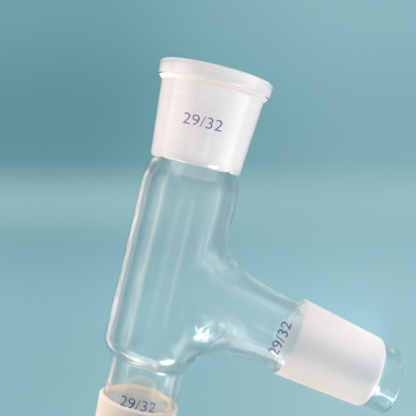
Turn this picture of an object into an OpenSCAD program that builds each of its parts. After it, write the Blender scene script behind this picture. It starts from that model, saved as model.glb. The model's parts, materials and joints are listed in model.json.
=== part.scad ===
// Three-way distillation head in blown borosilicate glass: a straight body with a ground
// socket on top, a ground cone below and a side arm that slopes down to a second ground cone.
// It is one piece of glass. It lies on its side, on its rim, its lower shoulder and the side
// cone, as it comes to rest on a bench. All sizes are in millimetres.
//
// The glass is drawn standing first: body axis on +Z, the lower cone's wide end at z = 0 and
// the arm leaving towards +X. lay_down() then turns its +Y side onto the bench.

/* [Ground joints 29/32] */
// Diameter at the wide end of each ground joint
joint_d = 29.2; // [28.8:0.1:29.6]
// Length of the ground surface
joint_len = 32; // [30:0.5:34]
// Loss of diameter for each millimetre of length
joint_taper = 0.1; // [0.09:0.005:0.11]
// Thickness of the glass in the cones
cone_wall = 2.2; // [1.8:0.1:2.4]

/* [Body] */
// Height of the mouth above the lower cone's wide end
body_height = 121.3; // [118:0.1:128]
// Outer diameter of the body tube
body_d = 35.2; // [34.6:0.1:35.8]
// Thickness of the tube walls
wall = 2; // [1.6:0.1:2.2]
// Outer diameter of the neck above the lower cone
neck_d = 27; // [26.4:0.1:27.4]
// Radius of the rounded shoulder at the foot of the body
shoulder_r = 6.3; // [5.8:0.1:6.6]
// Height of the centre of that rounding
shoulder_z = 21.6; // [21:0.1:22.4]

/* [Socket] */
// Outer diameter of the rim bead at its widest, just under the mouth
rim_d = 41.4; // [40.8:0.1:42]
// Height of the rim bead
rim_h = 6.6; // [6:0.1:7]
// Outer diameter of the socket wall under the rim bead
socket_top_d = 37.2; // [36.6:0.1:37.6]
// Outer diameter of the socket wall at its lower end
socket_low_d = 32.8; // [32.4:0.1:33.2]

/* [Side arm] */
// Angle between the arm and the lower half of the body axis
arm_angle = 78.8; // [77.8:0.1:79.8]
// Height at which the arm's axis crosses the body axis
arm_z = 44.7; // [44:0.1:45.6]
// Distance along the arm from the body axis to the cone's wide end
arm_reach = 49.6; // [48.6:0.1:54]
// Outer diameter of the arm's straight part, just before its cone
arm_d = 26.5; // [26:0.1:26.9]
// Radius of the long curve by which the arm widens towards the body
flare_r = 70; // [66:1:76]
// Radius of the blend between the neck and the underside of the arm
low_blend_r = 14; // [13.4:0.1:14.4]
// Radius of the blend between the body and the top of the arm
high_blend_r = 13.4; // [12.8:0.1:13.8]

/* [Tips] */
// Outer diameter of the clear tip below each cone
tip_d = 23.6; // [23:0.1:24]
// Length of the clear tip
tip_len = 9; // [8:0.1:12]

/* [Hidden] */

joint_r = joint_d / 2;
joint_end_r = joint_r - joint_len * joint_taper / 2;
body_r = body_d / 2;
neck_r = neck_d / 2;
tip_r = tip_d / 2;
rim_r = rim_d / 2;
arm_r = arm_d / 2;

arc_steps = 8;                  // straight pieces in each rounding of a profile
ease_steps = 6;                 // and in each smooth change of radius
turn_facets = 144;              // facets round each turned surface,
bend_facets = 180;              // along a full ring of bent tube
tube_facets = 72;               // and round that tube
past = 2;                       // how far the hollow runs past the open ends

tip_round = wall / 2;           // the melted edge of a tip is a half circle
tip_ease = 1.6;                 // length over which a cone narrows to its tip
neck_fillet = 2.5;              // rounding between the neck and the shoulder above it
lower_ledge = 1.3;              // length of the step out to the lower cone
inner_ledge = 2.6;              // and of the one in the hollow behind it
arm_ledge = 3.6;                // length of the step out to the arm's cone
flare_s = 42;                   // distance along the arm at which its straight part starts
flare_len = 22;                 // length of the flare between that and the body

rim_round = 1;                  // rounding of the rim's top edge
rim_foot = 1.2;                 // height of the slope under the rim
rim_flare = 0.4;                // how much narrower the rim is at its foot
mouth_bevel = 0.7;              // bevel inside the mouth
crown_r = 20;                   // big rounding from the body in to the socket
crown_drop = 9.6;               // how far below the ground zone it starts
socket_foot = 0.3;              // how far the socket's wall runs on below its ground surface
weld_len = 0.8;                 // length of the slight groove under it
hollow_crown = 3.2;             // height over which the hollow widens under the ground zone

blend_sink = 0.3;               // the bends start this far inside the tubes that they join

ground_top = body_height - mouth_bevel;
ground_foot = ground_top - joint_len;
socket_z = ground_foot - socket_foot;           // lower end of the socket wall
weld_z = socket_z - weld_len;
crown_z = ground_foot - crown_drop;             // height at which the body starts to narrow

// ---- curves of the profiles: points are [radius, height]
function arc(c, r, from, to) =
    [for (i = [0 : arc_steps]) let (a = from + (to - from) * i / arc_steps) c + r * [cos(a), sin(a)]];

function ease(r0, z0, r1, z1) =
    [for (i = [0 : ease_steps]) let (t = i / ease_steps, k = (1 - cos(180 * t)) / 2)
        [r0 + (r1 - r0) * k, z0 + (z1 - z0) * t]];

// Ground cone pointing down from z = 0, with its clear tip
tip_end = -joint_len - tip_len;

function cone_outside() = concat(
    [[0, tip_end]],
    arc([tip_r - tip_round, tip_end + tip_round], tip_round, -90, 0),
    ease(tip_r, -joint_len - tip_ease, joint_end_r, -joint_len),
    [[joint_r, 0]]);

function cone_hollow() = concat(
    [[0, tip_end - past], [tip_r - tip_round, tip_end - past]],
    arc([tip_r - tip_round, tip_end + tip_round], tip_round, 270, 180),
    ease(tip_r - wall, -joint_len - tip_ease, joint_end_r - cone_wall, -joint_len + tip_ease),
    [[joint_r - cone_wall, 0]]);

// ---- body: shoulder, straight tube, socket and rim
// The neck's fillet and the shoulder are two circles that touch.
fillet_c = [neck_r + neck_fillet,
            shoulder_z - sqrt(pow(shoulder_r + neck_fillet, 2) - pow(neck_r + neck_fillet - body_r + shoulder_r, 2))];
shoulder_c = [body_r - shoulder_r, shoulder_z];
touch_a = atan2(fillet_c[1] - shoulder_c[1], fillet_c[0] - shoulder_c[0]);

function shoulder(inset) = concat(
    arc(fillet_c, neck_fillet + inset, 180, 180 + touch_a),
    arc(shoulder_c, shoulder_r - inset, touch_a, 0));

crown_c = [body_r - crown_r, crown_z];
weld_r = crown_c[0] + sqrt(pow(crown_r, 2) - pow(weld_z - crown_z, 2));
crown_a = asin((weld_z - crown_z) / crown_r);

function body_outside() = concat(
    ease(joint_r, 0, neck_r, lower_ledge),
    shoulder(0),
    arc(crown_c, crown_r, 0, crown_a),
    [[socket_low_d / 2, socket_z], [socket_top_d / 2, body_height - rim_h]],
    arc([rim_r - rim_flare - rim_round, body_height - rim_h + rim_foot + rim_round], rim_round, -60, 0),
    arc([rim_r - rim_round, body_height - rim_round], rim_round, 0, 90),
    [[0, body_height]]);

function body_hollow() = concat(
    ease(joint_r - cone_wall, 0, neck_r - wall, inner_ledge),
    shoulder(wall),
    ease(body_r - wall, ground_foot - hollow_crown, joint_end_r, ground_foot),
    [[joint_r, ground_top], [joint_r + mouth_bevel, body_height],
     [joint_r + mouth_bevel, body_height + past], [0, body_height + past]]);

// ---- side arm, drawn along its own axis: s is the distance from the body axis
function shifted(points, dz) = [for (p = points) [p[0], p[1] + dz]];

// The flare is one long arc, and ends inside the body
flare_a = asin(flare_len / flare_r);
flare_end_r = arm_r + flare_r * (1 - cos(flare_a));

function flare(inset) = concat(
    arc([arm_r + flare_r, -flare_s], flare_r + inset, 180, 180 - flare_a),
    [[flare_end_r - inset, 0], [0, 0]]);

function arm_outside() = concat(
    shifted(cone_outside(), -arm_reach),
    ease(joint_r, -arm_reach, arm_r, arm_ledge - arm_reach),
    flare(0));

function arm_hollow() = concat(
    shifted(cone_hollow(), -arm_reach),
    ease(joint_r - cone_wall, -arm_reach, arm_r - wall, arm_ledge - arm_reach),
    flare(wall));

// ---- the two bends that blend the arm into the body, in the plane of both axes
arm_dir = [sin(arm_angle), -cos(arm_angle)];    // along the arm, as [x, z]
arm_up = [cos(arm_angle), sin(arm_angle)];      // square to it, upwards

// Outer radius of the flare at distance s
function flare_at(s) = arm_r + flare_r - sqrt(pow(flare_r, 2) - pow(flare_s - s, 2));

// Height of the centre of a bend that is x away from the body axis and gap from the arm's axis
function bend_z(x, gap) = arm_z + (gap - x * arm_up[0]) / arm_up[1];

// Lower bend: from the neck round into the underside of the arm
low_tube_r = neck_r - blend_sink;
low_end_s = 31;                 // distance along the arm at which the bend runs out
low_x = low_tube_r + low_blend_r;
low_z = bend_z(low_x, -(flare_at(low_end_s) - blend_sink + low_blend_r));

// Upper bend: from the body tube round into the top of the arm
high_tube_r = arm_r + blend_sink;
high_end_s = 26;
high_x = body_r - blend_sink + high_blend_r;
high_z = bend_z(high_x, flare_at(high_end_s) - blend_sink + high_blend_r);

// Part of a ring of round tube in the plane of the axes. The ring's centre is at [x, z] and
// its hole has the radius blend_r.
module bend(x, z, blend_r, tube_r, inset, from, to) {
    translate([x, 0, z])
        rotate([90, 0, 0])
            rotate([0, 0, from])
                rotate_extrude(angle = to - from, $fn = bend_facets)
                    translate([blend_r + tube_r, 0])
                        circle(r = tube_r - inset, $fn = tube_facets);
}

module bends(inset) {
    bend(low_x, low_z, low_blend_r, low_tube_r, inset, arm_angle, 180);
    bend(high_x, high_z, high_blend_r, high_tube_r, inset, 180, 180 + arm_angle);
}

module turned(points) {
    rotate_extrude($fn = turn_facets)
        polygon(points);
}

module along_arm() {
    translate([0, 0, arm_z])
        rotate([0, 90 - arm_angle, 0])
            rotate([0, -90, 0])
                children();
}

module outside() {
    turned(concat(cone_outside(), body_outside()));
    along_arm() turned(arm_outside());
    bends(0);
}

module hollow() {
    turned(concat(cone_hollow(), body_hollow()));
    along_arm() turned(arm_hollow());
    bends(wall);
}

// ---- how it lies: tilt_body lifts the rim end and tilt_arm drops the arm, so that the rim,
// the shoulder and the arm's ground cone all reach the bench
rim_at = [body_height - rim_round, rim_r - rim_round];     // [height, radius] of each round edge
foot_at = [shoulder_z, body_r - shoulder_r];

span = [rim_at[0] - foot_at[0], rim_at[1] - foot_at[1]];
body_slope = atan2(span[1], span[0]) - asin((shoulder_r - rim_round) / norm(span));
bench = rim_at[0] * sin(body_slope) - rim_at[1] * cos(body_slope) - rim_round;

// How far the arm can drop before the ring of radius r at distance s meets the bench
function drop_to(s, r) = asin((arm_z * sin(body_slope) - bench) / norm([s, r])) - atan2(r, s);

arm_slope = min(drop_to(arm_reach, joint_r), drop_to(arm_reach + joint_len, joint_end_r));
tilt_arm = asin((sin(arm_slope) - cos(arm_angle) * sin(body_slope)) / sin(arm_angle));
tilt_body = asin(sin(body_slope) / cos(tilt_arm));

// Where a standing point or direction goes when the glass is tilted
function tilted(v) =
    let (y = v[2] * cos(tilt_body) + v[1] * sin(tilt_body),
         h = v[2] * sin(tilt_body) - v[1] * cos(tilt_body))
    [v[0] * cos(tilt_arm) + h * sin(tilt_arm), y, h * cos(tilt_arm) - v[0] * sin(tilt_arm)];

// How far a round edge reaches along one axis of the bench frame, each way
function reach(centre, dir, r, edge, axis, side) =
    tilted(centre)[axis] + side * (r * sqrt(1 - pow(tilted(dir)[axis], 2)) + edge);

up = [0, 0, 1];
down_arm = [arm_dir[0], 0, arm_dir[1]];
arm_tip = [0, 0, arm_z] + (arm_reach - tip_end - tip_round) * down_arm;
rim_mid = [0, 0, rim_at[0]];
low_tip = [0, 0, tip_end + tip_round];

x_min = reach(rim_mid, up, rim_at[1], rim_round, 0, -1);
x_max = reach(arm_tip, down_arm, tip_r - tip_round, tip_round, 0, 1);
y_min = reach(low_tip, up, tip_r - tip_round, tip_round, 1, -1);
y_max = reach(rim_mid, up, rim_at[1], rim_round, 1, 1);

module lay_down() {
    translate([-(x_min + x_max) / 2, -(y_min + y_max) / 2, -bench])
        rotate([0, tilt_arm, 0])
            rotate([tilt_body - 90, 0, 0])
                children();
}

module glass_head() {
    color([0.82, 0.9, 0.92])
        lay_down()
            difference() {
                outside();
                hollow();
            }
}

glass_head();
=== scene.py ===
"""Looks of a three-way distillation head in blown glass, lying on a bench.

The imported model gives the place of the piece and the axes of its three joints. The glass is
drawn standing, in millimetres, with the body axis on Z, the lower cone's wide end at z = 0 and
the side arm in the XZ plane, and is then laid into the frame.
"""

import json
import logging
import math
from dataclasses import dataclass, field
from enum import Enum
from typing import Callable

import bmesh
import bpy
import numpy as np
from mathutils import Matrix, Vector


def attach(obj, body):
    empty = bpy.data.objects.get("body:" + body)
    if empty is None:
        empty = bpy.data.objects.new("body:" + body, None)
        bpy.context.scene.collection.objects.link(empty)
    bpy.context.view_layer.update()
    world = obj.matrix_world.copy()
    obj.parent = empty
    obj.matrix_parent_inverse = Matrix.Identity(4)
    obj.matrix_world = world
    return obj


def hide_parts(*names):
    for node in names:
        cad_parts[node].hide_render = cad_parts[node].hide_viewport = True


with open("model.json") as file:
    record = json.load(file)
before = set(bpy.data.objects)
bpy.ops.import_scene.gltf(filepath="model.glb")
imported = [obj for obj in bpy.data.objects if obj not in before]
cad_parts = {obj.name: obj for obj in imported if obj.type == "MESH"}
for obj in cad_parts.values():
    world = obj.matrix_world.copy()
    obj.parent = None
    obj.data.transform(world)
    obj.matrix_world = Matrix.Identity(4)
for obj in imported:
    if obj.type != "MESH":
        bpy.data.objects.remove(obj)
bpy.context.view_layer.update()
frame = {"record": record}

MM = 0.001                      # one millimetre in the frame's metres
SEGMENTS = 120                  # steps of every turned surface
MERGE = 1e-6                    # vertices closer than this, in metres, are one
SAME_PLACE = 0.005              # points of a profile closer than this, in millimetres, are one
ROUND_OFF = 1e-3                # share of a ring by which a count may be over
TINY = 1e-9                     # keeps a division from zero

log = logging.getLogger("glass_head")

Point = tuple[float, float]
Test = Callable[[Vector], bool]


class Skin(Enum):
    """The two sides of the glass wall."""

    OUTSIDE = "outside"
    INSIDE = "inside"


# ---- small helpers -------------------------------------------------------------------------


def linear_colour(code: str) -> tuple[float, float, float, float]:
    """Turns an sRGB hex colour into the linear colour that a socket takes.

    Args:
        code: the colour as "#rrggbb".

    Returns:
        Red, green, blue and an alpha of 1, all linear.
    """
    parts = [int(code[i:i + 2], 16) / 255 for i in (1, 3, 5)]
    red, green, blue = [c / 12.92 if c <= 0.04045 else ((c + 0.055) / 1.055) ** 2.4 for c in parts]
    return red, green, blue, 1.0


def add_node(tree: bpy.types.NodeTree, kind: str, settings: dict | None = None,
             links: dict | None = None) -> bpy.types.Node:
    """Adds a node with its settings and links.

    Args:
        tree: the node tree that gets it.
        kind: the node's type name, without the "ShaderNode" in front.
        settings: values by the name of a socket or of a property of the node.
        links: other nodes, or outputs of theirs that aren't the first, by the socket that they feed.

    Returns:
        The new node.
    """
    node = tree.nodes.new(f"ShaderNode{kind}")
    for name, value in (settings or {}).items():
        if isinstance(name, int) or name in node.inputs:
            node.inputs[name].default_value = value
        else:
            setattr(node, name, value)
    for name, source in (links or {}).items():
        output = source.outputs[0] if isinstance(source, bpy.types.Node) else source
        tree.links.new(output, node.inputs[name])
    return node


def new_material(name: str) -> tuple[bpy.types.Material, bpy.types.NodeTree]:
    """Starts a material with an empty node tree.

    Args:
        name: the material's name.

    Returns:
        The material and its node tree.
    """
    material = bpy.data.materials.new(name)
    material.use_nodes = True
    material.node_tree.nodes.clear()
    return material, material.node_tree


def in_clear_glass(tree: bpy.types.NodeTree, path: bpy.types.Node) -> bpy.types.NodeSocket:
    """Tells a ray that shows something in clear glass from one that lights a matt surface.

    Args:
        tree: the node tree of the room or of a lamp.
        path: its Light Path node.

    Returns:
        An output that is 1 for rays mirrored or let through by glass on their way to the eye.
    """
    turns = add_node(tree, "Math", {"operation": "ADD"}, {
        0: path.outputs["Glossy Depth"], 1: path.outputs["Transmission Depth"]})
    turned_away = add_node(tree, "Math", {"operation": "GREATER_THAN", 1: 0.5}, {0: turns})
    unscattered = add_node(tree, "Math", {"operation": "LESS_THAN", 1: 0.5},
                           {0: path.outputs["Diffuse Depth"]})
    both = add_node(tree, "Math", {"operation": "MULTIPLY"}, {0: turned_away, 1: unscattered})
    return both.outputs["Value"]


def arc(centre: Point, radius: float, start: float, end: float, steps: int = 8) -> list[Point]:
    """Points of a circular arc in the plane of a profile.

    Args:
        centre: the arc's centre, as radius and height.
        radius: the arc's own radius.
        start: the angle at which it starts, in degrees.
        end: the angle at which it ends.
        steps: how many straight pieces it has.

    Returns:
        Its points, both ends among them.
    """
    angles = [math.radians(start + (end - start) * i / steps) for i in range(steps + 1)]
    return [(centre[0] + radius * math.cos(a), centre[1] + radius * math.sin(a)) for a in angles]


def ease(start: Point, end: Point, steps: int = 6) -> list[Point]:
    """A smooth change of radius between two heights.

    Args:
        start: the first point, as radius and height.
        end: the last point.
        steps: how many straight pieces it has.

    Returns:
        Its points, both ends among them.
    """
    shares = [i / steps for i in range(steps + 1)]
    turns = [(1 - math.cos(math.pi * t)) / 2 for t in shares]
    return [(start[0] + (end[0] - start[0]) * k, start[1] + (end[1] - start[1]) * t)
            for t, k in zip(shares, turns)]


def chain(*runs: list[Point], spacing: float = 1.35) -> list[Point]:
    """Joins runs of a profile, with rings on the straight stretches between them.

    Args:
        runs: lists of points, in order.
        spacing: the largest distance between two rings, in millimetres.

    Returns:
        One list of points, each a real step away from the one before.
    """
    profile: list[Point] = []
    for radius, height in (point for run in runs for point in run):
        if profile:
            last_radius, last_height = profile[-1]
            gap = math.hypot(radius - last_radius, height - last_height)
            if gap < SAME_PLACE:
                continue
            pieces = math.ceil(gap / spacing - ROUND_OFF)
            profile += [(last_radius + (radius - last_radius) * i / pieces,
                         last_height + (height - last_height) * i / pieces)
                        for i in range(1, pieces)]
        profile.append((radius, height))
    return profile


def deselect_all() -> None:
    """Leaves nothing selected, so that the next operator acts on its own object alone."""
    bpy.ops.object.select_all(action="DESELECT")


def only(piece: bpy.types.Object) -> None:
    """Makes one object the selected and active one.

    Args:
        piece: the object.
    """
    deselect_all()
    piece.select_set(True)
    bpy.context.view_layer.objects.active = piece


def edit_mode(on: bool) -> None:
    """Goes to edit mode, or back to object mode."""
    bpy.ops.object.mode_set(mode="EDIT" if on else "OBJECT")


def select_parts(piece: bpy.types.Object, kind: str, test: Test, boundary: bool = False) -> None:
    """Selects the faces or edges of a piece in edit mode whose middle passes a test.

    Args:
        piece: the object that is being edited.
        kind: "faces" or "edges".
        test: says of a middle point, in metres, whether its part is wanted.
        boundary: when true, only edges on an open border count.
    """
    bpy.ops.mesh.select_mode(type="FACE" if kind == "faces" else "EDGE")
    bpy.ops.mesh.select_all(action="DESELECT")
    mesh = bmesh.from_edit_mesh(piece.data)
    for part in getattr(mesh, kind):
        middle = sum((v.co for v in part.verts), Vector()) / len(part.verts)
        if test(middle) and (not boundary or part.is_boundary):
            part.select_set(True)
    bmesh.update_edit_mesh(piece.data)


def turned(name: str, profile: list[Point]) -> bpy.types.Object:
    """Draws a profile by extruding one vertex from point to point, and spins it round Z.

    Args:
        name: the object's name.
        profile: points as radius and height, in millimetres.

    Returns:
        The turned surface, open at both ends, in metres.
    """
    deselect_all()
    bpy.ops.mesh.primitive_plane_add(size=MM, location=(0, 0, 0))
    piece = bpy.context.object
    piece.name = piece.data.name = name
    edit_mode(True)
    bpy.ops.mesh.select_mode(type="VERT")
    bpy.ops.mesh.select_all(action="SELECT")
    bpy.ops.mesh.merge(type="CENTER")
    here = Vector((profile[0][0], 0, profile[0][1])) * MM
    bpy.ops.transform.translate(value=here)
    for radius, height in profile[1:]:
        there = Vector((radius, 0, height)) * MM
        bpy.ops.mesh.extrude_region_move(TRANSFORM_OT_translate={"value": there - here})
        here = there
    bpy.ops.mesh.select_all(action="SELECT")
    bpy.ops.mesh.spin(steps=SEGMENTS, angle=math.tau, center=(0, 0, 0), axis=(0, 0, 1))
    bpy.ops.mesh.select_all(action="SELECT")
    bpy.ops.mesh.remove_doubles(threshold=MERGE)
    edit_mode(False)
    return piece


def joined(name: str, pieces: list[bpy.types.Object]) -> bpy.types.Object:
    """Joins several objects into the first.

    Args:
        name: the name of the result.
        pieces: the objects.

    Returns:
        The one object that is left.
    """
    only(pieces[0])
    for piece in pieces[1:]:
        piece.select_set(True)
    bpy.ops.object.join()
    pieces[0].name = pieces[0].data.name = name
    return pieces[0]


def vertices_of(piece: bpy.types.Object) -> np.ndarray:
    """The vertices of a piece.

    Args:
        piece: the object.

    Returns:
        One row for each vertex, in millimetres.
    """
    flat = np.empty(len(piece.data.vertices) * 3)
    piece.data.vertices.foreach_get("co", flat)
    return flat.reshape(-1, 3) / MM


def put_vertices(piece: bpy.types.Object, places: np.ndarray) -> None:
    """Moves the vertices of a piece to places given in millimetres."""
    piece.data.vertices.foreach_set("co", (places * MM).ravel())
    piece.data.update()


def within(value: np.ndarray, span: Point) -> np.ndarray:
    """How far a value has come from 0 at the start of a span to 1 at its end."""
    return (value - span[0]) / (span[1] - span[0])


def smooth_step(value: np.ndarray) -> np.ndarray:
    """Smooth change from 0 at 0 to 1 at 1."""
    held = np.clip(value, 0, 1)
    return held * held * (3 - 2 * held)


# ---- finishes ------------------------------------------------------------------------------


@dataclass(frozen=True)
class ClearBorosilicate:
    """Clear borosilicate glass, drawn as tube and fire-polished at the lamp.

    It gives the eye a nearly colourless, sharp glass with faint lines along the tube from the
    drawing, and a slow waviness where it was blown.
    """

    name: str = "clear_borosilicate_glass"
    colour: str = "#FAFDFD"
    ior: float = 1.473
    body: float = 1.0               # share of the light that the glass bends or mirrors
    line_width: float = 2.4         # mm from one draw line to the next
    line_run: float = 60.0          # mm over which a draw line stays the same
    depth: float = 0.004            # mm of waviness
    weld_size: float = 3.0          # mm from one dent to the next where the arm was welded on
    weld_depth: float = 1.0         # mm of the dents there

    def make(self) -> bpy.types.Material:
        """Builds the material.

        Returns:
            Clear glass whose waviness follows the tubes.
        """
        material, tree = new_material(self.name)
        place = add_node(tree, "Attribute", {"attribute_name": "along_tube"})
        stretch = add_node(tree, "Mapping",
                           {"Scale": (1 / self.line_width, 1 / self.line_width, 1 / self.line_run)},
                           {"Vector": place.outputs["Vector"]})
        lines = add_node(tree, "TexNoise", {"Scale": 1.0, "Detail": 1.0}, {"Vector": stretch})
        bump = add_node(tree, "Bump", {"Strength": 1.0, "Distance": self.depth * MM},
                        {"Height": lines})
        weld = add_node(tree, "Attribute", {"attribute_name": "weld"})
        dents = add_node(tree, "TexNoise", {"Scale": 1 / self.weld_size, "Detail": 2.0},
                         {"Vector": place.outputs["Vector"]})
        dented = add_node(tree, "Math", {"operation": "MULTIPLY"}, {
            0: weld.outputs["Fac"], 1: dents})
        bump = add_node(tree, "Bump", {"Strength": 1.0, "Distance": self.weld_depth * MM},
                        {"Height": dented, "Normal": bump})
        shader = add_node(tree, "BsdfPrincipled", {
            "Base Color": linear_colour(self.colour), "Roughness": 0.0, "IOR": self.ior,
            "Transmission Weight": 1.0, "Alpha": self.body}, {"Normal": bump})
        add_node(tree, "OutputMaterial", links={"Surface": shader})
        return material


@dataclass(frozen=True)
class GroundBorosilicate:
    """Borosilicate glass ground with carborundum to the taper of a standard joint.

    The grit leaves a matt white skin that scatters the light and lets some of it through, with
    fine rings round the joint from the grinding.
    """

    name: str = "ground_borosilicate_glass"
    colour: str = "#F9FBFB"
    pale: str = "#FFFFFF"
    ior: float = 1.473
    roughness: float = 0.62
    through: float = 0.5            # share of the light that is let through
    grit: float = 0.35              # mm between grains, drawn coarser than the real 0.05 mm
    ring_step: float = 0.8          # mm between grinding rings,
    ring_run: float = 20.0          # and mm across the joint over which a ring stays the same
    depth: float = 0.004            # mm of roughness that shows,
    relief: float = 0.6             # and how strongly it is drawn, from 0 to 1

    def make(self) -> bpy.types.Material:
        """Builds the material.

        Returns:
            Matt glass with grain and grinding rings.
        """
        material, tree = new_material(self.name)
        place = add_node(tree, "Attribute", {"attribute_name": "along_tube"})
        grain = add_node(tree, "TexNoise", {"Scale": 1 / self.grit, "Detail": 2.0},
                         {"Vector": place.outputs["Vector"]})
        squeeze = add_node(tree, "Mapping", {
            "Scale": (1 / self.ring_run, 1 / self.ring_run, 1 / self.ring_step)},
            {"Vector": place.outputs["Vector"]})
        rings = add_node(tree, "TexNoise", {"Scale": 1.0, "Detail": 3.0}, {"Vector": squeeze})
        both = add_node(tree, "Math", {"operation": "ADD"}, {0: grain, 1: rings})
        bump = add_node(tree, "Bump", {"Strength": self.relief, "Distance": self.depth * MM},
                        {"Height": both})
        tint = add_node(tree, "MixRGB", {
            "Color1": linear_colour(self.colour), "Color2": linear_colour(self.pale)},
            {"Fac": rings})
        shader = add_node(tree, "BsdfPrincipled", {
            "Roughness": self.roughness, "IOR": self.ior, "Transmission Weight": self.through},
            {"Base Color": tint, "Normal": bump})
        add_node(tree, "OutputMaterial", links={"Surface": shader})
        return material


@dataclass(frozen=True)
class BakedEnamel:
    """Blue-violet ceramic enamel, screened on and baked: a thin, slightly uneven, satin film."""

    name: str = "baked_blue_enamel"
    colour: str = "#524D98"
    thin: str = "#7A74B4"
    roughness: float = 0.4
    fleck: float = 0.4              # mm between thin spots of the film
    depth: float = 0.01             # mm of its unevenness,
    relief: float = 0.3             # and how strongly it is drawn, from 0 to 1

    def make(self) -> bpy.types.Material:
        """Builds the material.

        Returns:
            Satin enamel, paler where the film is thin.
        """
        material, tree = new_material(self.name)
        place = add_node(tree, "TexCoord")
        film = add_node(tree, "TexNoise", {"Scale": 1 / (self.fleck * MM), "Detail": 2.0},
                        {"Vector": place.outputs["Object"]})
        colour = add_node(tree, "MixRGB", {
            "Color1": linear_colour(self.colour), "Color2": linear_colour(self.thin)},
            {"Fac": film})
        bump = add_node(tree, "Bump", {"Strength": self.relief, "Distance": self.depth * MM},
                        {"Height": film})
        shader = add_node(tree, "BsdfPrincipled", {"Roughness": self.roughness},
                          {"Base Color": colour, "Normal": bump})
        add_node(tree, "OutputMaterial", links={"Surface": shader})
        return material


@dataclass(frozen=True)
class BenchPaper:
    """Matt, pale teal paper that covers the bench and deepens towards the far end.

    The eye, and the glass that it looks through, see the paper partly at its plain colour, so
    that the glass stays clear and its shadow soft.
    """

    near: tuple[str, str] = ("#90C0CA", "#A6D3DD")      # in front, at the left and the right
    far: tuple[str, str] = ("#60969E", "#86B8C0")       # at its darkest
    sheen: str = "#AAD0D7"          # of a painted sheen, a soft pale band across the paper
    lean: float = 0.238             # how far the direction to the back leans to the left
    fade: Point = (-0.010, 0.075)   # where the paper deepens, in metres to the back
    lighten: Point = (0.075, 0.125)     # and where it gets lighter again,
    lighten_by: float = 0.28        # by which share
    side: Point = (-0.075, 0.045)   # from the left colours to the right ones, in metres
    painted_sheen_span: tuple[Point, Point] = ((0.022, 0.044), (0.042, 0.060))    # start and end of the painted sheen
    painted_sheen_share: float = 0.55
    plain: float = 0.65             # share of the plain colour, and the rest is lit paper
    beyond: Point = (0.18, 0.3)     # from the glass, where only the plain colour is left

    @staticmethod
    def change(way: bpy.types.Node, span: Point, start: float, end: float) -> bpy.types.NodeSocket:
        """Adds a slow change over a stretch of the bench.

        Args:
            way: the node whose value is the distance that is measured, in metres.
            span: the distances at which the change starts and ends.
            start: the value before it.
            end: the value after it.

        Returns:
            The output that changes.
        """
        node = add_node(way.id_data, "MapRange", {
            "interpolation_type": "SMOOTHSTEP", "From Min": span[0], "From Max": span[1],
            "To Min": start, "To Max": end}, {"Value": way.outputs["Value"]})
        return node.outputs["Result"]

    def make(self) -> bpy.types.Material:
        """Builds the material.

        Returns:
            A matt surface of one slow change of colour.
        """
        material, tree = new_material("bench_paper")
        place = add_node(tree, "TexCoord")
        parts = add_node(tree, "SeparateXYZ", links={0: place.outputs["Object"]})
        back = add_node(tree, "Math", {"operation": "MULTIPLY_ADD", 1: -self.lean},
                        {0: parts.outputs["X"], 2: parts.outputs["Y"]})
        across = add_node(tree, "Math", {"operation": "MULTIPLY_ADD", 1: self.lean},
                          {0: parts.outputs["Y"], 2: parts.outputs["X"]})
        right = self.change(across, self.side, 0.0, 1.0)
        near, far = [add_node(tree, "MixRGB", {
            "Color1": linear_colour(left), "Color2": linear_colour(other)}, {"Fac": right})
            for left, other in (self.near, self.far)]
        depth = add_node(tree, "Math", {"operation": "ADD"}, {
            0: self.change(back, self.fade, 0.0, 1.0),
            1: self.change(back, self.lighten, 0.0, -self.lighten_by)})
        plane = add_node(tree, "MixRGB", links={"Fac": depth, "Color1": near, "Color2": far})
        # painted sheen: a soft pale band across the paper
        painted_sheen_amount = add_node(tree, "Math", {"operation": "MULTIPLY"}, {
            0: self.change(back, self.painted_sheen_span[0], 0.0, self.painted_sheen_share),
            1: self.change(back, self.painted_sheen_span[1], 1.0, 0.0)})
        colour = add_node(tree, "MixRGB", {"Color2": linear_colour(self.sheen)}, {
            "Fac": painted_sheen_amount, "Color1": plane})
        matt = add_node(tree, "BsdfDiffuse", links={"Color": colour})
        plain = add_node(tree, "Emission", {"Strength": 1.0}, {"Color": colour})
        path = add_node(tree, "LightPath")
        straight = add_node(tree, "Math", {"operation": "MAXIMUM"}, {
            0: path.outputs["Is Camera Ray"], 1: path.outputs["Is Glossy Ray"]})
        seen = add_node(tree, "Math", {"operation": "MAXIMUM"}, {
            0: straight, 1: path.outputs["Is Transmission Ray"]})
        share = add_node(tree, "Math", {"operation": "MULTIPLY", 1: self.plain}, {0: seen})
        reach = add_node(tree, "VectorMath", {"operation": "LENGTH"}, {0: place.outputs["Object"]})
        outside = add_node(tree, "Math", {"operation": "MULTIPLY"}, {
            0: self.change(reach, self.beyond, 0.0, 1.0), 1: path.outputs["Is Camera Ray"]})
        even = add_node(tree, "Math", {"operation": "MAXIMUM"}, {0: share, 1: outside})
        surface = add_node(tree, "MixShader", links={0: even, 1: matt, 2: plain})
        add_node(tree, "OutputMaterial", links={"Surface": surface})
        return material


# ---- the glass -----------------------------------------------------------------------------


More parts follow.
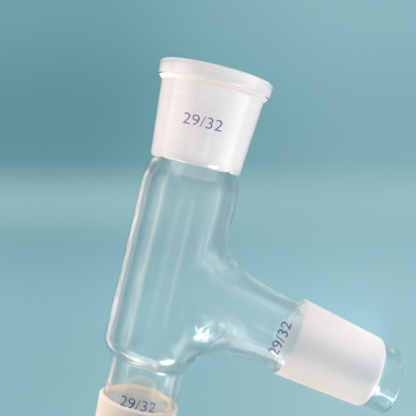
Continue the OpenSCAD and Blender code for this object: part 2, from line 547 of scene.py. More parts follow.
@dataclass
class GroundCone:
    """A 29/32 cone with its clear tip, pointing down from z = 0. All sizes are in millimetres."""

    radius: float = 14.6
    end_radius: float = 13.0
    length: float = 32.0
    wall: float = 2.2
    tip_radius: float = 11.8
    tip_wall: float = 2.0
    tip_length: float = 9.0
    tip_ease: float = 1.6
    rounding: float = 1.4           # how far above its end the ground surface starts to round in

    @property
    def tip_end(self) -> float:
        """Height of the end of the tip."""
        return -self.length - self.tip_length

    @property
    def ground(self) -> Point:
        """Lowest and highest height of the ground surface."""
        return -self.length, 0.0

    def profile(self, skin: Skin) -> list[Point]:
        """One side of the wall, from the end of the tip up to z = 0.

        Args:
            skin: the side of the wall.

        Returns:
            Its points, as radius and height.
        """
        edge = self.tip_wall / 2
        middle = (self.tip_radius - edge, self.tip_end + edge)
        if skin is Skin.OUTSIDE:
            taper = (self.radius - self.end_radius) / self.length
            return (arc(middle, edge, -90, 0)
                    + ease((self.tip_radius, -self.length - self.tip_ease),
                           (self.end_radius + taper * self.rounding, self.rounding - self.length))
                    + [(self.radius, 0.0)])
        return (arc(middle, edge, 270, 180)
                + ease((self.tip_radius - self.tip_wall, -self.length - self.tip_ease),
                       (self.end_radius - self.wall, -self.length + self.tip_ease))
                + [(self.radius - self.wall, 0.0)])


@dataclass
class BodyTube:
    """Neck, rounded shoulder and straight tube, above the lower cone. Sizes in millimetres."""

    radius: float = 17.6
    wall: float = 2.0
    neck_radius: float = 13.5
    ledge: float = 1.3
    shoulder_radius: float = 6.3
    shoulder_height: float = 21.6
    fillet: float = 2.5
    crown_radius: float = 20.0
    crown_height: float = 79.0
    weld_height: float = 87.5

    @property
    def shoulder_centre(self) -> Point:
        """Centre of the rounding at the foot of the body."""
        return self.radius - self.shoulder_radius, self.shoulder_height

    @property
    def fillet_centre(self) -> Point:
        """Centre of the fillet between the neck and that rounding, which it touches.

        Returns:
            A point, as radius and height.
        """
        across = self.neck_radius + self.fillet - self.shoulder_centre[0]
        reach = self.shoulder_radius + self.fillet
        return self.neck_radius + self.fillet, self.shoulder_height - math.sqrt(reach ** 2 - across ** 2)

    def foot(self, skin: Skin) -> list[Point]:
        """The shoulder, from the neck to the straight tube.

        Args:
            skin: the side of the wall.

        Returns:
            Its points, as radius and height.
        """
        inset = self.wall if skin is Skin.INSIDE else 0.0
        fillet, shoulder = self.fillet_centre, self.shoulder_centre
        touch = math.degrees(math.atan2(fillet[1] - shoulder[1], fillet[0] - shoulder[0]))
        return (arc(fillet, self.fillet + inset, 180, 180 + touch)
                + arc(shoulder, self.shoulder_radius - inset, touch, 0))

    def crown(self) -> list[Point]:
        """The big rounding in to the weld under the socket.

        Returns:
            Its points, as radius and height.
        """
        centre = (self.radius - self.crown_radius, self.crown_height)
        rise = math.degrees(math.asin((self.weld_height - self.crown_height) / self.crown_radius))
        return arc(centre, self.crown_radius, 0, rise)


@dataclass
class Socket:
    """The 29/32 socket with its rim bead, ground on the inside. Sizes in millimetres."""

    top: float = 121.3              # height of the mouth
    low_radius: float = 16.4
    low_height: float = 88.3
    high_radius: float = 18.6
    rim_radius: float = 20.7
    rim_height: float = 6.6
    rim_round: float = 1.0
    rim_foot: float = 1.2
    rim_flare: float = 0.4
    bevel: float = 0.7
    ground_radius: float = 14.6
    ground_end_radius: float = 13.0
    ground_length: float = 32.0
    hollow_crown: float = 9.0       # height over which the hollow widens below the ground zone
    face_radius: float = 17.4       # middle of the flat mouth face
    hollow_steps: int = 10          # straight pieces in that widening
    uneven: Point = (0.18, 0.1)     # how far the foot of the ground zone wavers, slow and quick,
    waves: Point = (7, 19)          # and how many times round the joint
    lag: float = 0.7                # radians by which the quick waves start late
    waver_reach: float = 6.0        # how far above and below the foot the wall follows it

    @property
    def ground_top(self) -> float:
        """Height at which the ground surface meets the mouth's bevel."""
        return self.top - self.bevel

    @property
    def ground(self) -> Point:
        """Lowest and highest height of the ground surface."""
        return self.ground_top - self.ground_length, self.ground_top

    def ground_edge(self, places: np.ndarray) -> np.ndarray:
        """How far the uneven foot of the ground surface lies above its mean height.

        Args:
            places: points in millimetres.

        Returns:
            A distance in millimetres for each point's direction from the axis.
        """
        azimuth = np.arctan2(places[:, 1], places[:, 0])
        return (self.uneven[0] * np.sin(self.waves[0] * azimuth)
                + self.uneven[1] * np.sin(self.waves[1] * azimuth + self.lag))

    def profile(self, skin: Skin, body: BodyTube) -> list[Point]:
        """One side of the wall, from the body up to the middle of the mouth's face.

        Args:
            skin: the side of the wall.
            body: the tube below.

        Returns:
            Its points, as radius and height.
        """
        face = [(self.face_radius, self.top)]
        if skin is Skin.OUTSIDE:
            foot = self.top - self.rim_height
            under = (self.rim_radius - self.rim_flare - self.rim_round,
                     foot + self.rim_foot + self.rim_round)
            over = (self.rim_radius - self.rim_round, self.top - self.rim_round)
            return ([(self.low_radius, self.low_height), (self.high_radius, foot)]
                    + arc(under, self.rim_round, -60, 0)
                    + arc(over, self.rim_round, 0, 90) + face)
        low = self.ground[0]
        return (ease((body.radius - body.wall, low - self.hollow_crown),
                     (self.ground_end_radius, low), self.hollow_steps)
                + [(self.ground_radius, self.ground_top),
                   (self.ground_radius + self.bevel, self.top)] + face)


@dataclass
class SideArm:
    """The side arm and how it grows out of the body. Sizes in millimetres, angle in degrees."""

    angle: float = 78.8             # to the lower half of the body axis
    height: float = 44.7            # at which the two axes cross
    reach: float = 49.6             # from the body axis to the cone's wide end
    radius: float = 13.25
    wall: float = 2.0
    ledge: float = 3.6
    start: float = 44.0             # where the turned part of the arm starts
    slant: Point = (0.7, 1.7)       # how much the tip is cut short, and how much its cut leans
    slant_ease: float = 6.0         # how far above the clear tip the wall starts to follow the cut

    @property
    def along(self) -> np.ndarray:
        """Direction of the arm, away from the body."""
        turn = math.radians(self.angle)
        return np.array([math.sin(turn), 0.0, -math.cos(turn)])

    @property
    def up(self) -> np.ndarray:
        """Direction square to the arm, upwards in the plane of both axes."""
        turn = math.radians(self.angle)
        return np.array([math.cos(turn), 0.0, math.sin(turn)])

    def cut(self, down: np.ndarray, above: np.ndarray, cone: GroundCone) -> np.ndarray:
        """How far the slanting cut of the tip draws points back towards the body.

        Args:
            down: heights on the cone, 0 at its wide end and falling to the tip.
            above: distances from the arm's axis to its upper side.
            cone: the cone at the arm's end.

        Returns:
            A shift along the arm for each point, in millimetres.
        """
        share = smooth_step((-down - cone.length + self.slant_ease) / (cone.tip_length + self.slant_ease))
        return share * (self.slant[0] + self.slant[1] * above / cone.tip_radius)

    def profile(self, skin: Skin, cone: GroundCone) -> list[Point]:
        """One side of the arm's wall, with its cone, pointing down from the crossing of the axes.

        Args:
            skin: the side of the wall.
            cone: the cone at its end.

        Returns:
            Its points, as radius and height, from the tip to the start of the arm.
        """
        inset = self.wall if skin is Skin.INSIDE else 0.0
        wide = cone.radius - (cone.wall if skin is Skin.INSIDE else 0.0)
        low = [(radius, height - self.reach) for radius, height in cone.profile(skin)]
        return (low + ease((wide, -self.reach), (self.radius - inset, self.ledge - self.reach))
                + [(self.radius - inset, -self.start)])

    def placing(self) -> Matrix:
        """The turn and shift that take a surface drawn on Z to the arm.

        Returns:
            A matrix in metres.
        """
        along, up = Vector(self.along), Vector(self.up)
        down = -along
        turn = Matrix((up, down.cross(up), down)).transposed().to_4x4()
        return Matrix.Translation((0, 0, self.height * MM)) @ turn


@dataclass
class Junction:
    """The blown web between body and arm: two round walls that flow into each other.

    A point's distance from the body's wall and from the arm's wall are combined so that the
    corner between them becomes a rounding, wide under the arm and tighter above it.
    """

    body: BodyTube
    arm: SideArm
    hole_low: float = 25.0          # heights between which the body is opened for the arm
    hole_high: float = 64.0
    hole_half: float = 45.0         # degrees to each side of the arm
    cuts: int = 16                  # rings between the body's opening and the arm,
    flow: float = 0.6               # and how far they follow the walls on both sides
    margin: float = 5.0             # round the two borders, when they are looked for
    rounds: Point = (13.3, 6.8)     # radius of the rounding under and above the arm
    side_round: float = 0.8
    flares: Point = (85.4, 78.5)    # radius of the long flare under and above the arm
    side_flare: float = 205.0
    flare_start: float = 42.0
    sag: float = 0.9                # how much fuller the arm is underneath,
    sag_ease: float = 10.0          # and the length over which that ends
    soft: Point = (0.2, 1.1)        # radians from the arm between which the shoulder takes its form
    soft_heights: Point = (14.0, 39.6)      # between which it slopes on the arm's side
    blend_span: Point = (2.0, 14.0)         # along the arm, where the rounding grows
    arm_root: float = 2.0           # where the arm's wall starts, from the body axis
    web: tuple[float, float, float] = (2.0, 14.5, 76.0)     # least X, and heights, of what is shaped
    passes: int = 60                # rounds of smoothing,
    share: float = 0.5              # each by this share of the way to the middle of the neighbours,
    settle_every: int = 6           # and after so many rounds the points go back to the wall,
    settle_steps: int = 4           # in this many steps
    probe: float = 0.02             # distance at which the slope of the wall is measured
    least_slope: float = 0.2        # below which a step isn't made longer

    def body_radius(self, places: np.ndarray) -> np.ndarray:
        """Outer radius of neck, shoulder and body, softer on the arm's side.

        Args:
            places: points in millimetres.

        Returns:
            One radius for each point.
        """
        height = places[:, 2]
        fillet, shoulder = self.body.fillet_centre, self.body.shoulder_centre
        meet = (fillet[1] * self.body.shoulder_radius + shoulder[1] * self.body.fillet) / (
            self.body.shoulder_radius + self.body.fillet)
        into = np.clip(height - fillet[1], 0, self.body.fillet)
        curled = fillet[0] - np.sqrt(self.body.fillet ** 2 - np.minimum(into, meet - fillet[1]) ** 2)
        back = np.clip(shoulder[1] - height, 0, self.body.shoulder_radius)
        rounded = shoulder[0] + np.sqrt(np.maximum(self.body.shoulder_radius ** 2 - back ** 2, 0))
        turned_radius = np.where(height < meet, curled, rounded)
        azimuth = np.abs(np.arctan2(places[:, 1], places[:, 0]))
        soft = 1 - smooth_step(within(azimuth, self.soft))
        slope = self.body.neck_radius + (self.body.radius - self.body.neck_radius) * smooth_step(
            within(height, self.soft_heights))
        return turned_radius * (1 - soft) + slope * soft

    def distance(self, places: np.ndarray, skin: Skin) -> np.ndarray:
        """Signed distance from one side of the blended wall, negative inside.

        Args:
            places: points in millimetres.
            skin: the side of the wall.

        Returns:
            One distance for each point.
        """
        inset = self.body.wall if skin is Skin.INSIDE else 0.0
        from_body = np.hypot(places[:, 0], places[:, 1]) - self.body_radius(places) + inset
        out = places - np.array([0, 0, self.arm.height])
        along, above = out @ self.arm.along, out @ self.arm.up
        across = np.hypot(above, places[:, 1]) + TINY
        lean = above / across
        low, high = np.maximum(-lean, 0) ** 2, np.maximum(lean, 0) ** 2
        blend = (self.side_round + (self.rounds[0] - self.side_round) * low
                 + (self.rounds[1] - self.side_round) * high + inset) * smooth_step(
                     within(along, self.blend_span))
        flare = (self.side_flare + (self.flares[0] - self.side_flare) * low
                 + (self.flares[1] - self.side_flare) * high)
        radius = (self.arm.radius + np.maximum(self.flare_start - along, 0) ** 2 / (2 * flare)
                  + self.sag * low * smooth_step((self.arm.start - along) / self.sag_ease)) - inset
        from_arm = np.maximum(across - radius, self.arm_root - along)
        near = np.minimum(from_body, from_arm)
        rounded = np.maximum(blend, near) - np.hypot(blend - from_body, blend - from_arm)
        return np.where((blend > from_body) & (blend > from_arm), rounded, near)

    def settle(self, places: np.ndarray, skin: Skin) -> np.ndarray:
        """Moves points along the slope of the distance until they lie on the blended wall.

        Args:
            places: points in millimetres.
            skin: the side of the wall.

        Returns:
            The settled points.
        """
        for _ in range(self.settle_steps):
            value = self.distance(places, skin)
            slope = np.stack([(self.distance(places + self.probe * axis, skin)
                               - self.distance(places - self.probe * axis, skin)) / (2 * self.probe)
                              for axis in np.eye(3)], axis=1)
            size = np.maximum((slope ** 2).sum(1), self.least_slope)
            places = places - (value / size)[:, None] * slope
        return places

    def form(self, piece: bpy.types.Object, skin: Skin) -> None:
        """Bridges the body's opening to the arm and shapes the web between them.

        Args:
            piece: body and arm in one object, with both openings.
            skin: the side of the wall.
        """
        only(piece)
        edit_mode(True)
        ahead, start = Vector(self.arm.along), Vector((0, 0, self.arm.height))
        low, high = self.hole_low - self.margin, self.hole_high + self.margin
        select_parts(piece, "edges", lambda middle: middle.x > self.margin * MM
                     and low < middle.z / MM < high
                     and (middle / MM - start).dot(ahead) < self.arm.start + self.margin, boundary=True)
        bpy.ops.mesh.bridge_edge_loops(type="SINGLE", number_cuts=self.cuts,
                                       interpolation="PATH", smoothness=self.flow)
        edit_mode(False)
        places = vertices_of(piece)
        out = places - np.array([0, 0, self.arm.height])
        along = out @ self.arm.along
        side, bottom, top = self.web
        near = (places[:, 0] > side) & (places[:, 2] > bottom) & (places[:, 2] < top) & (
            along < self.arm.start - SAME_PLACE)
        ends = np.array([edge.vertices[:] for edge in piece.data.edges])
        count = np.bincount(ends.ravel(), minlength=len(places))[:, None]
        for done in range(1, self.passes + 1):
            total = np.zeros_like(places)
            np.add.at(total, ends[:, 0], places[ends[:, 1]])
            np.add.at(total, ends[:, 1], places[ends[:, 0]])
            places[near] += self.share * (total / count - places)[near]
            if done % self.settle_every == 0:
                places[near] = self.settle(places[near], skin)
        put_vertices(piece, places)


class Zone(Enum):
    """The parts of the glass that differ in finish, by the slot of their material."""

    CLEAR = 0
    ARM_CONE = 1
    SOCKET = 2
    TUBE = 3
    # a painted glow: the lower cone's inner edge in a warm, nearly opaque finish
    WARM_EDGE = 4
    # same ground glass as the arm cone, tinted cream and darker: painted warm light
    LOW_CONE = 5


@dataclass
class GlassHead:
    """The whole head, blown in one piece: body, socket, lower cone and side arm."""

    cone: GroundCone = field(default_factory=GroundCone)
    body: BodyTube = field(default_factory=BodyTube)
    socket: Socket = field(default_factory=Socket)
    arm: SideArm = field(default_factory=SideArm)
    matt_ledge: float = 1.0         # how far the ground finish runs over the ledge of a cone,
    painted_glint_run: float = 2.4           # and how much further at one place on the arm, as a painted glint on its clear ledge,
    glint_middle: float = 60.0        # in degrees up from its front,
    glint_width: float = 14.0         # and this wide, in degrees
    matt_highlight_rim: float = 1.1           # height of the matt underside of the rim bead, whose white is partly a painted highlight
    outer_rim: float = 17.8         # radius outside which it lies
    warm_height: float = 2.21       # height of the painted glow, a warm inner edge on the lower cone,
    warm_radius: float = 13.1       # the radius inside which it lies,
    warm_front: float = -2.0        # and how far it comes to the front
    largest: float = 16.0           # radius that no cone reaches
    clearance: float = 0.05         # between a ground surface and the limit that it is found by
    skin_gap: float = 1.0           # how far inside the arm's cone that limit lies
    tube_blend: Point = (20.0, 38.0)        # along the arm, where its draw lines take over
    sharp: float = 38.0             # degrees between faces above which an edge stays sharp
    welds: tuple[tuple[float, float, float], ...] = ((23.5, -12.0, 31.0), (24.5, -9.0, 57.0))
    weld_reach: float = 7.0         # of the uneven glass round each of those places

    def upright(self, skin: Skin) -> bpy.types.Object:
        """Turns one side of the upright wall, from the lower tip to the mouth.

        Args:
            skin: the side of the wall.

        Returns:
            The surface, with the arm's opening cut out.
        """
        junction = Junction(self.body, self.arm)
        inset = self.body.wall if skin is Skin.INSIDE else 0.0
        wide = self.cone.radius - (self.cone.wall if skin is Skin.INSIDE else 0.0)
        ledge = self.body.ledge * (2 if skin is Skin.INSIDE else 1)
        steps = round(SEGMENTS * junction.hole_half / 180)
        rise = (junction.hole_high - junction.hole_low) / steps
        opening = [(self.body.radius - inset, junction.hole_low + rise * i) for i in range(steps + 1)]
        top = self.body.crown() if skin is Skin.OUTSIDE else []
        profile = chain(
            self.cone.profile(skin),
            ease((wide, 0.0), (self.body.neck_radius - inset, ledge)),
            self.body.foot(skin), opening, top, self.socket.profile(skin, self.body))
        piece = turned(f"upright_{skin.value}", profile)
        if skin is Skin.INSIDE:
            places = vertices_of(piece)
            from_foot = np.abs(places[:, 2] - self.socket.ground[0])
            near = np.maximum(1 - from_foot / self.socket.waver_reach, 0)
            places[:, 2] += near * self.socket.ground_edge(places)
            put_vertices(piece, places)
        limit = math.radians(junction.hole_half)
        edit_mode(True)
        select_parts(piece, "faces", lambda middle: abs(math.atan2(middle.y, middle.x)) < limit
                     and junction.hole_low < middle.z / MM < junction.hole_high)
        bpy.ops.mesh.delete(type="FACE")
        edit_mode(False)
        return piece

    def side(self, skin: Skin) -> bpy.types.Object:
        """Turns one side of the arm's wall, with its cone, and lays it along the arm.

        Args:
            skin: the side of the wall.

        Returns:
            The surface in place.
        """
        piece = turned(f"arm_{skin.value}", chain(self.arm.profile(skin, self.cone)))
        places = vertices_of(piece)
        places[:, 2] += self.arm.cut(places[:, 2] + self.arm.reach, places[:, 0], self.cone)
        put_vertices(piece, places)
        piece.data.transform(self.arm.placing())
        return piece

    def skin(self, skin: Skin) -> bpy.types.Object:
        """One whole side of the glass wall.

        Args:
            skin: the side of the wall.

        Returns:
            Body and arm in one surface, open only at the mouth and the two tips.
        """
        piece = joined(f"skin_{skin.value}", [self.upright(skin), self.side(skin)])
        Junction(self.body, self.arm).form(piece, skin)
        return piece

    def tube_place(self, places: np.ndarray) -> np.ndarray:
        """Where each vertex lies along the tube that it belongs to.

        Args:
            places: vertices in millimetres.

        Returns:
            Two coordinates across the tube's axis and one along it, in millimetres.
        """
        out = places - np.array([0, 0, self.arm.height])
        along = out @ self.arm.along
        sideways = np.stack([out @ self.arm.up, places[:, 1], -along], axis=1)
        share = smooth_step(within(along, self.tube_blend))[:, None]
        return places * (1 - share) + sideways * share

    def in_socket(self, places: np.ndarray) -> np.ndarray:
        """Says which points of the wall are on the socket's ground surface or its bevel.

        Args:
            places: the middles of faces, in millimetres.

        Returns:
            True for each such point.
        """
        across = np.hypot(places[:, 0], places[:, 1])
        reach = self.socket.ground_radius + self.socket.bevel + self.clearance
        return (across < reach) & (places[:, 2] > self.socket.ground[0] + self.socket.ground_edge(places))

    def on_warm_edge(self, places: np.ndarray) -> np.ndarray:
        """Says which points lie on the lower cone's inner edge: a painted glow where light leaves the
        wall.

        Args:
            places: the middles of faces, in millimetres.

        Returns:
            True for each such point.
        """
        ring = (places[:, 2] > 0) & (places[:, 2] < self.warm_height)
        inside = np.hypot(places[:, 0], places[:, 1]) < self.warm_radius
        return ring & inside & (places[:, 1] > self.warm_front)

    def on_cones(self, places: np.ndarray) -> np.ndarray:
        """Says which points of the wall are on the ground surface of either cone, or on the painted glint.

        Args:
            places: the middles of faces, in millimetres.

        Returns:
            True for each such point.
        """
        low, high = self.cone.ground
        high = high + self.matt_ledge
        half = self.cone.radius - self.cone.wall / 2
        taper = (self.cone.radius - self.cone.end_radius) / self.cone.length
        across, height = np.hypot(places[:, 0], places[:, 1]), places[:, 2]
        below = (height > low) & (height < high) & (across > half + taper * height)
        out = places - np.array([0, 0, self.arm.height])
        down = self.arm.reach - out @ self.arm.along
        above = out @ self.arm.up
        round_arm = np.hypot(above, places[:, 1])
        end = low + self.arm.cut(np.full_like(down, low), above, self.cone)
        # painted glint: the matt white runs further over the arm's clear ledge at one place
        from_glint = (np.degrees(np.arctan2(above, -places[:, 1])) - self.glint_middle) / self.glint_width
        start = high + self.painted_glint_run * np.exp(-from_glint ** 2)
        beside = (down > end) & (down < start) & (
            round_arm > half + taper * np.minimum(down, 0) - self.skin_gap)
        return (below & (across < self.largest)) | (beside & (round_arm < self.largest))

    def build(self) -> bpy.types.Object:
        """Builds the glass, standing.

        Returns:
            One closed shell with its finishes.
        """
        piece = joined("glass_head_blown", [self.skin(Skin.OUTSIDE), self.skin(Skin.INSIDE)])
        only(piece)
        edit_mode(True)
        bpy.ops.mesh.select_all(action="SELECT")
        bpy.ops.mesh.remove_doubles(threshold=MERGE)
        bpy.ops.mesh.normals_make_consistent(inside=False)
        edit_mode(False)
        places = vertices_of(piece)
        along = piece.data.attributes.new("along_tube", "FLOAT_VECTOR", "POINT")
        along.data.foreach_set("vector", self.tube_place(places).astype(np.float32).ravel())
        from_weld = [((places - np.array(spot)) ** 2).sum(1) for spot in self.welds]
        weld = piece.data.attributes.new("weld", "FLOAT", "POINT")
        weld.data.foreach_set("value", np.exp(-np.min(from_weld, axis=0) / self.weld_reach ** 2)
                              .astype(np.float32))
        finishes = {
            Zone.CLEAR: ClearBorosilicate(),
            Zone.ARM_CONE: GroundBorosilicate(through=0.46),
            Zone.SOCKET: GroundBorosilicate("ground_socket_glass", "#E2E5E7", "#ECEFF1", through=0.05,
                                            depth=0.002),
            Zone.TUBE: ClearBorosilicate("drawn_borosilicate_tube", body=0.7),
            # painted glow on the lower cone's inner edge, warm white where light leaves the wall
            Zone.WARM_EDGE: GroundBorosilicate("warm_glass_edge", "#FFDDB8", "#FFE6CC", through=0.1),
            # the lower cone's copy of the ground glass, tinted cream: painted warm light from the front
            # and left
            Zone.LOW_CONE: GroundBorosilicate("ground_warm_glass", "#E2DBD2", "#ECE5DC", through=0.5)}
        for zone in Zone:
            piece.data.materials.append(finishes[zone].make())
        middles = np.array([face.center[:] for face in piece.data.polygons]) / MM
        height = middles[:, 2]
        # the rim's underside: partly a matt finish, partly a painted highlight line under the bead
        over_rim_foot = height - (self.socket.top - self.socket.rim_height)
        rim_underside_matt_highlight = (over_rim_foot > 0) & (over_rim_foot < self.matt_highlight_rim) & (
            np.hypot(middles[:, 0], middles[:, 1]) > self.outer_rim)
        cones = self.on_cones(middles)
        places_of = {
            Zone.SOCKET: self.in_socket(middles) | rim_underside_matt_highlight,
            Zone.LOW_CONE: cones & (height < self.body.ledge + self.matt_ledge),
            Zone.ARM_CONE: cones,
            Zone.WARM_EDGE: self.on_warm_edge(middles),
            Zone.TUBE: height < self.body.weld_height}
        slots = np.select(list(places_of.values()), [zone.value for zone in places_of], Zone.CLEAR.value)
        piece.data.polygons.foreach_set("material_index", slots.astype(np.int32))
        bpy.ops.object.shade_smooth_by_angle(angle=math.radians(self.sharp))
        return piece


@dataclass
class SizeMark:
    """The joint's size, fired on to the glass as numerals that wrap round a tube. Sizes in mm."""

    name: str
    radius: float                   # of the tube under the middle of the numerals
    slope: float                    # change of that radius along the axis
    height: float                   # along the tube's axis, of the foot of the numerals
    azimuth: float                  # degrees round the axis, of the middle of the numerals
    placing: Matrix
    cap: float = 3.7                # height of the numerals
    width: float = 13.6             # length of the line
    film: float = 0.03              # thickness of the enamel
    thinner: float = 0.008          # by which the strokes are drawn thinner, as a share of their height
    strip: float = 0.45             # width of the strips into which the line is cut to bend it
    words: str = "29/32"
    curve_steps: int = 6            # straight steps in each curve of a numeral
    blank: float = 0.1              # thickness before the line is brought to its size,
    merge: float = 1e-4             # and how close points are one there

    def build(self, finish: bpy.types.Material) -> bpy.types.Object:
        """Builds the numerals, wrapped on the standing tube.

        Args:
            finish: the enamel.

        Returns:
            The closed film of enamel.
        """
        deselect_all()
        bpy.ops.object.text_add(location=(0, 0, 0))
        line = bpy.context.object
        line.data.body = self.words
        line.data.align_x = "CENTER"
        line.data.resolution_u = self.curve_steps
        line.data.offset = -self.thinner
        line.data.extrude = self.blank
        bpy.ops.object.convert(target="MESH")
        piece = bpy.context.object
        piece.name = piece.data.name = self.name
        edit_mode(True)
        bpy.ops.mesh.select_all(action="SELECT")
        bpy.ops.mesh.remove_doubles(threshold=self.merge)
        edit_mode(False)
        flat = vertices_of(piece) * MM
        low, high = flat.min(0), flat.max(0)
        flat = (flat - (low + high) / 2) / (high - low)
        flat[:, 0] *= self.width
        flat[:, 1] = (flat[:, 1] + 0.5) * self.cap
        flat[:, 2] *= self.film
        put_vertices(piece, flat)
        edit_mode(True)
        strips = math.floor(self.width / 2 / self.strip)
        for i in range(-strips, strips + 1):
            bpy.ops.mesh.select_all(action="SELECT")
            bpy.ops.mesh.bisect(plane_co=(i * self.strip * MM, 0, 0), plane_no=(1, 0, 0))
        edit_mode(False)
        flat = vertices_of(piece)
        turn = np.radians(self.azimuth) + flat[:, 0] / self.radius
        out = self.radius + self.slope * flat[:, 1] + self.film + flat[:, 2]
        wrapped = np.stack([out * np.cos(turn), out * np.sin(turn), self.height + flat[:, 1]], axis=1)
        put_vertices(piece, wrapped)
        piece.data.transform(self.placing)
        only(piece)
        edit_mode(True)
        bpy.ops.mesh.select_all(action="SELECT")
        bpy.ops.mesh.normals_make_consistent(inside=False)
        edit_mode(False)
        piece.data.materials.clear()
        piece.data.materials.append(finish)
        return piece


# ---- the studio ----------------------------------------------------------------------------


class Role(Enum):
    """What a lamp is for."""

    LIGHTS = "lights"               # it lights matt surfaces, also behind clear glass
    SHINES = "shines"               # clear glass mirrors it
    GLOWS = "glows"                 # it is seen through clear glass


@dataclass
class Lamp:
    """A rectangular soft lamp. Sizes and places are in metres, and it points at the glass."""

    name: str
    place: tuple[float, float, float]
    target: tuple[float, float, float]
    size: Point
    radiance: float
    colour: str = "#FFFFFF"
    role: Role = Role.LIGHTS

    def build(self) -> bpy.types.Object:
        """Builds the lamp.

        Returns:
            The lamp's object.
        """
        light = bpy.data.lights.new(self.name, "AREA")
        light.shape = "RECTANGLE"
        light.size, light.size_y = self.size
        light.energy = self.radiance * self.size[0] * self.size[1] * math.pi
        light.color = linear_colour(self.colour)[:3]
        lamp = bpy.data.objects.new(self.name, light)
        bpy.context.scene.collection.objects.link(lamp)
        lamp.location = self.place
        look = Vector(self.target) - Vector(self.place)
        lamp.rotation_euler = look.to_track_quat("-Z", "Y").to_euler()
        lamp.visible_camera = False
        lamp.visible_glossy = self.role is Role.SHINES
        lamp.visible_diffuse = self.role is Role.LIGHTS
        if self.role is Role.LIGHTS:
            self.hide_in_glass(light)
        return lamp

    def hide_in_glass(self, light: bpy.types.AreaLight) -> None:
        """Lets the lamp reach matt surfaces through clear glass without being seen in it.

        Args:
            light: the lamp's light.
        """
        light.use_nodes = True
        tree = light.node_tree
        tree.nodes.clear()
        path = add_node(tree, "LightPath")
        level = add_node(tree, "Math", {"operation": "SUBTRACT", 0: 1.0},
                         {1: in_clear_glass(tree, path)})
        shader = add_node(tree, "Emission", links={"Strength": level})
        add_node(tree, "OutputLight", links={"Surface": shader})


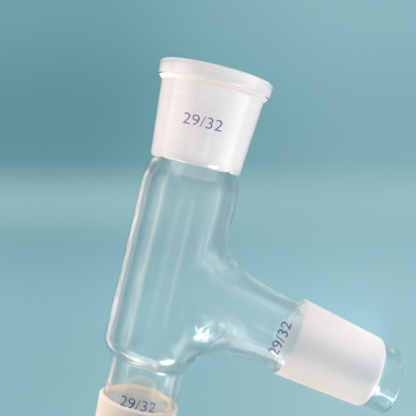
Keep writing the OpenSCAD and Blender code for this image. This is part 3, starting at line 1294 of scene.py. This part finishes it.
@dataclass
class Studio:
    """Bench, soft light and camera."""

    floor_size: float = 6.0
    polished: float = 1.1           # brightness of the room in clear glass,
    gap: float = 0.4                # in the gap between the left side and the ceiling,
    back: float = 2.2               # low at the back
    right: float = 2.2              # and at the right
    matt: Point = (1.05, 0.0)       # for matt surfaces, at the height of the bench and overhead
    gap_start: Point = (-0.8, -0.7)         # the X of the directions in which the gap fades in,
    gap_end: Point = (-0.45, -0.35)         # and out again,
    right_edge: Point = (0.75, 0.95)        # and in which the brighter right starts,
    back_edge: Point = (0.8, 1.0)           # and the Y of those for the back
    matt_tone: str = "#EAF6FF"
    polished_tone: str = "#FFFBF9"
    backdrop: str = "#95BDC4"
    eye: tuple[float, float, float] = (-0.0249, 0.03681, 0.28029)
    tilt: tuple[float, float, float] = (-0.596, 0.627, 13.384)   # degrees
    lens: float = 63.04
    sensor: float = 36.0
    nearest: float = 0.01           # distance at which the camera starts to see, in metres

    def bench(self) -> bpy.types.Object:
        """Builds the covered bench top.

        Returns:
            The floor.
        """
        deselect_all()
        bpy.ops.mesh.primitive_plane_add(size=self.floor_size, location=(0, 0, 0))
        floor = bpy.context.object
        floor.name = "bench_top"
        floor.data.materials.append(BenchPaper().make())
        return floor

    def room(self) -> None:
        """Sets the even light of the room."""
        world = bpy.data.worlds.new("room")
        bpy.context.scene.world = world
        world.use_nodes = True
        tree = world.node_tree
        tree.nodes.clear()
        way = add_node(tree, "TexCoord")
        parts = add_node(tree, "SeparateXYZ", links={0: way.outputs["Generated"]})
        edges = [add_node(tree, "MapRange", {
            "interpolation_type": "SMOOTHSTEP", "From Min": span[0], "From Max": span[1],
            "To Max": change}, {"Value": parts.outputs[axis]}) for axis, span, change in (
                ("X", self.gap_start, self.gap - self.polished),
                ("X", self.gap_end, self.polished - self.gap),
                ("X", self.right_edge, self.right - self.polished),
                ("Y", self.back_edge, self.back - self.polished))]
        polished = add_node(tree, "Math", {"operation": "ADD", 1: self.polished}, {0: edges[0]})
        for edge in edges[1:]:
            polished = add_node(tree, "Math", {"operation": "ADD"}, {0: edge, 1: polished})
        matt = add_node(tree, "MapRange", {
            "To Min": self.matt[0], "To Max": self.matt[1]}, {"Value": parts.outputs["Z"]})
        path = add_node(tree, "LightPath")
        level = add_node(tree, "Mix", {"data_type": "FLOAT"}, {
            0: in_clear_glass(tree, path), 2: matt, 3: polished})
        tone = add_node(tree, "MixRGB", {
            "Color1": linear_colour(self.matt_tone), "Color2": linear_colour(self.polished_tone)},
            {"Fac": in_clear_glass(tree, path)})
        light = add_node(tree, "Background", links={"Color": tone, "Strength": level})
        backdrop = add_node(tree, "Background", {
            "Color": linear_colour(self.backdrop), "Strength": 1.0})
        shown = add_node(tree, "MixShader", links={
            0: path.outputs["Is Camera Ray"], 1: light, 2: backdrop})
        add_node(tree, "OutputWorld", links={"Surface": shown})

    @staticmethod
    def card(name: str, place: Point, size: Point, radiance: float, colour: str) -> Lamp:
        """A small card that lies on the bench, glows upwards and shows only through the glass.

        Args:
            name: its name.
            place: its middle on the bench, in metres.
            size: its width and depth.
            radiance: how strongly it glows.
            colour: its colour.

        Returns:
            The lamp that stands for it.
        """
        return Lamp(name, (*place, MM), (*place, 1.0), size, radiance, colour, Role.GLOWS)

    def lamps(self) -> list[bpy.types.Object]:
        """Builds the lamps.

        Returns:
            The lamps' objects.
        """
        middle, shines = (-0.01, 0.02, 0.02), Role.SHINES
        lamps = [
            Lamp("left_panel", (-0.42, 0.2, 0.075), middle, (0.5, 0.09), 25.0, "#FFE3DE"),
            self.card("arm_card", (0.0, 0.018), (0.03, 0.012), 0.35, "#DDE6EA"),
            self.card("side_card", (-0.0097, 0.033), (0.014, 0.026), 0.15, "#F2EDEB"),
            self.card("neck_card", (-0.016, -0.033), (0.007, 0.014), 0.7, "#FFE8D2"),
            Lamp("right_panel", (0.5, 0.06, 0.075), middle, (0.7, 0.09), 13.0, "#FFDAD2"),
            Lamp("front_panel", (-0.2, -0.45, 0.085), middle, (0.6, 0.1), 9.8, "#FFD2A8"),
            Lamp("back_panel", (0.02, 0.55, 0.09), middle, (0.9, 0.1), 8.5, "#FFDED8"),
            Lamp("front_strip", (-0.245, -0.5, 0.1), middle, (0.31, 0.14), 10.5, "#FFF0E4", shines),
            Lamp("side_strip", (0.02, -0.5, 0.1), middle, (0.22, 0.12), 5.0, "#FFF0E4", shines),
            Lamp("corner_light", (0.3, -0.35, 0.25), middle, (0.28, 0.2), 20.0, role=shines),
            Lamp("tip_card", (0.105, -0.045, 0.012), (0.07, -0.03, 0.012), (0.05, 0.024), 5.5,
                 "#FFF0E4", shines),
            Lamp("right_strip", (0.162, -0.084, 0.6), (-0.035, -0.084, 0.02), (0.15, 0.11), 1.2,
                 role=shines),
            Lamp("left_strip", (-0.178, -0.084, 0.6), (-0.035, -0.084, 0.02), (0.15, 0.08), 0.35,
                 role=shines),
            self.card("bench_card", (-0.0694, 0.005), (0.017, 0.1), 1.8, "#FFC8B9"),
        ]
        return [lamp.build() for lamp in lamps]

    def camera(self) -> bpy.types.Object:
        """Builds the camera, which looks down on the glass.

        Returns:
            The camera's object.
        """
        data = bpy.data.cameras.new("camera")
        data.lens = self.lens
        data.sensor_width = self.sensor
        data.clip_start = self.nearest
        camera = bpy.data.objects.new("camera", data)
        bpy.context.scene.collection.objects.link(camera)
        camera.location = self.eye
        camera.rotation_euler = [math.radians(angle) for angle in self.tilt]
        bpy.context.scene.camera = camera
        return camera

    def build(self) -> None:
        """Builds the studio round the glass."""
        self.bench()
        self.room()
        self.lamps()
        self.camera()
        bpy.context.scene.view_settings.view_transform = "Standard"


def laid_down() -> Matrix:
    """Finds where the standing glass goes when it lies on the bench.

    Returns:
        The matrix from the standing glass to the frame, in metres.
    """
    mounts = {mount["name"]: mount for mount in frame["record"]["mounts"]}
    origin = Vector(mounts["lower_cone"]["pos_m"])
    up = Vector(mounts["socket"]["axis"]).normalized()
    arm = Vector(mounts["arm_cone"]["axis"])
    across = (arm - arm.dot(up) * up).normalized()
    turn = Matrix((across, up.cross(across), up)).transposed().to_4x4()
    return Matrix.Translation(origin) @ turn


def main() -> None:
    """Builds the glass, its marks and the studio."""
    logging.basicConfig(level=logging.INFO, format="%(name)s: %(message)s")
    Studio().build()
    place = laid_down()
    head = GlassHead()
    glass = head.build()
    glass.data.transform(place)
    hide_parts("glass_head")
    pieces = [glass]
    enamel = BakedEnamel().make()
    # a darker copy of the same enamel for the lower and arm marks: painted shade, where the ink looks
    # darker
    shaded_enamel = BakedEnamel("baked_dense_enamel", "#2C2670", "#443D8E").make()
    socket, arm = head.socket, head.arm
    slope = (socket.high_radius - socket.low_radius) / (socket.top - socket.rim_height - socket.low_height)
    marks = [
        (SizeMark("size_mark_socket", radius=17.4, slope=slope, height=100.3, azimuth=-94.0,
                  placing=place), enamel),
        (SizeMark("size_mark_lower", radius=13.6, slope=0.0, height=0.9, azimuth=-91.4,
                  placing=place, width=12.7), shaded_enamel),
        (SizeMark("size_mark_arm", radius=arm.radius, slope=0.0, height=-45.0, azimuth=-90.9,
                  placing=place @ arm.placing(), width=12.6), shaded_enamel),
    ]
    for mark, finish in marks:
        piece = mark.build(finish)
        pieces.append(piece)
    for piece in pieces:
        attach(piece, "root")
        log.info("%s: %d faces", piece.name, len(piece.data.polygons))


if __name__ == "__main__":
    main()
